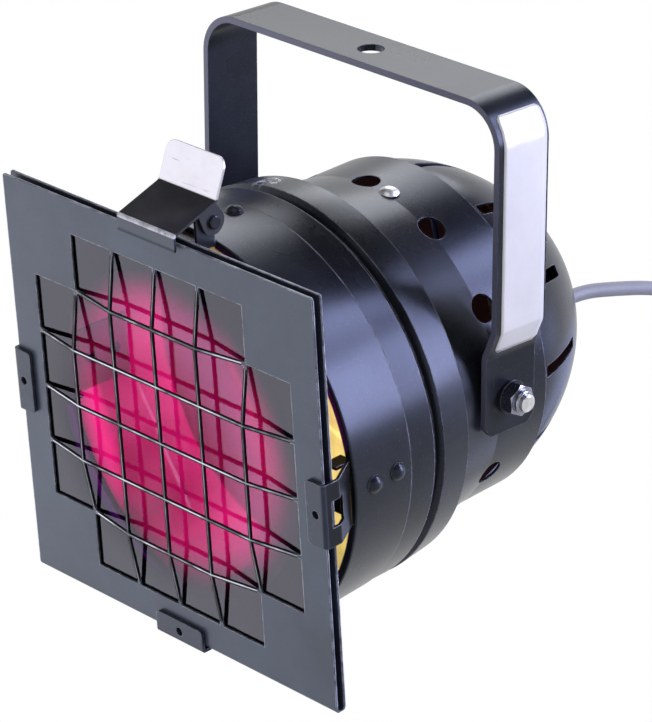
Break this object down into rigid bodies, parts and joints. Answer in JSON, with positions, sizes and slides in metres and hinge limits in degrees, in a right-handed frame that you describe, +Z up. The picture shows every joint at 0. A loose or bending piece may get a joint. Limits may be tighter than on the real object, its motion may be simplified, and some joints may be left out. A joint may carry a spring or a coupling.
{
  "type": "stage spotlight",
  "caption": "Short black parabolic spotlight with a flat steel yoke, a gridded colour frame with a gel, a sprung top catch, and its coiled mains cord.",
  "frame": {"origin": "centre of the top rim of the yoke's middle hole", "axes": "+Z up along the hole, -Y towards the colour frame at the front, +X along the pivot bolts to the right-hand arm seen from behind"},
  "size_m": [0.1998, 0.4589, 0.4528],
  "materials": {
    "black_paint": "satin black enamel",
    "zinc_steel": "zinc plated",
    "bright_steel": "bright plated",
    "spring_steel": "drawn spring wire",
    "magenta_gel": "clear coloured polyester",
    "lamp_mirror": "aluminised inside",
    "lamp_glass": "pressed lens glass",
    "tungsten": "drawn wire",
    "white_ceramic": "unglazed ceramic",
    "white_block": "moulded",
    "brown_sleeve": "silicone sleeve",
    "blue_sleeve": "silicone sleeve",
    "grey_nylon": "moulded nylon",
    "grey_cable": "matt sheath",
    "black_strap": "hook and loop strap",
    "black_rubber": "moulded rubber",
    "plug_brass": "nickel plated"
  },
  "bodies": {
    "yoke": {"yoke": "black_paint"},
    "can": {"cable_gland": "grey_nylon", "catch_bracket": "black_paint", "catch_spring": "spring_steel", "coil_tie": "black_strap", "cord_coil": "grey_cable", "core_live": "brown_sleeve", "core_neutral": "blue_sleeve", "frame_holder_bottom": "black_paint", "frame_holder_left": "black_paint", "frame_holder_right": "black_paint", "front_barrel": "black_paint", "gel_frame": "black_paint", "gel_sheet": "magenta_gel", "gland_nut": "grey_nylon", "holder_rivets": "black_paint", "lamp_filament": "tungsten", "lamp_lens": "lamp_glass", "lamp_prongs": "bright_steel", "lamp_reflector": "lamp_mirror", "lamp_ring": "spring_steel", "lampholder": "white_ceramic", "lead_live": "brown_sleeve", "lead_neutral": "brown_sleeve", "mains_cord": "grey_cable", "pivot_bolts": "zinc_steel", "pivot_nuts": "zinc_steel", "pivot_spacers": "black_paint", "pivot_washers": "zinc_steel", "plug_body": "black_rubber", "plug_pins": "plug_brass", "rear_body": "black_paint", "rear_cap": "black_paint", "terminal_block": "white_block", "terminal_plate": "zinc_steel", "terminal_screw": "bright_steel"},
    "catch": {"catch_lever": "bright_steel", "catch_pin": "bright_steel"}
  },
  "joints": [
    {"name": "can_tilt", "type": "hinge", "parent": "yoke", "child": "can", "pos_m": [0, 0, -0.137], "axis": [1, 0, 0], "range_deg": [-30, 81]},
    {"name": "catch_swing", "type": "hinge", "parent": "can", "child": "catch", "pos_m": [0, -0.10894, -0.04558], "axis": [1, 0, 0], "range_deg": [-60, 0], "stiffness_Nm_per_rad": 0.05, "springref_deg": 34.38}
  ]
}
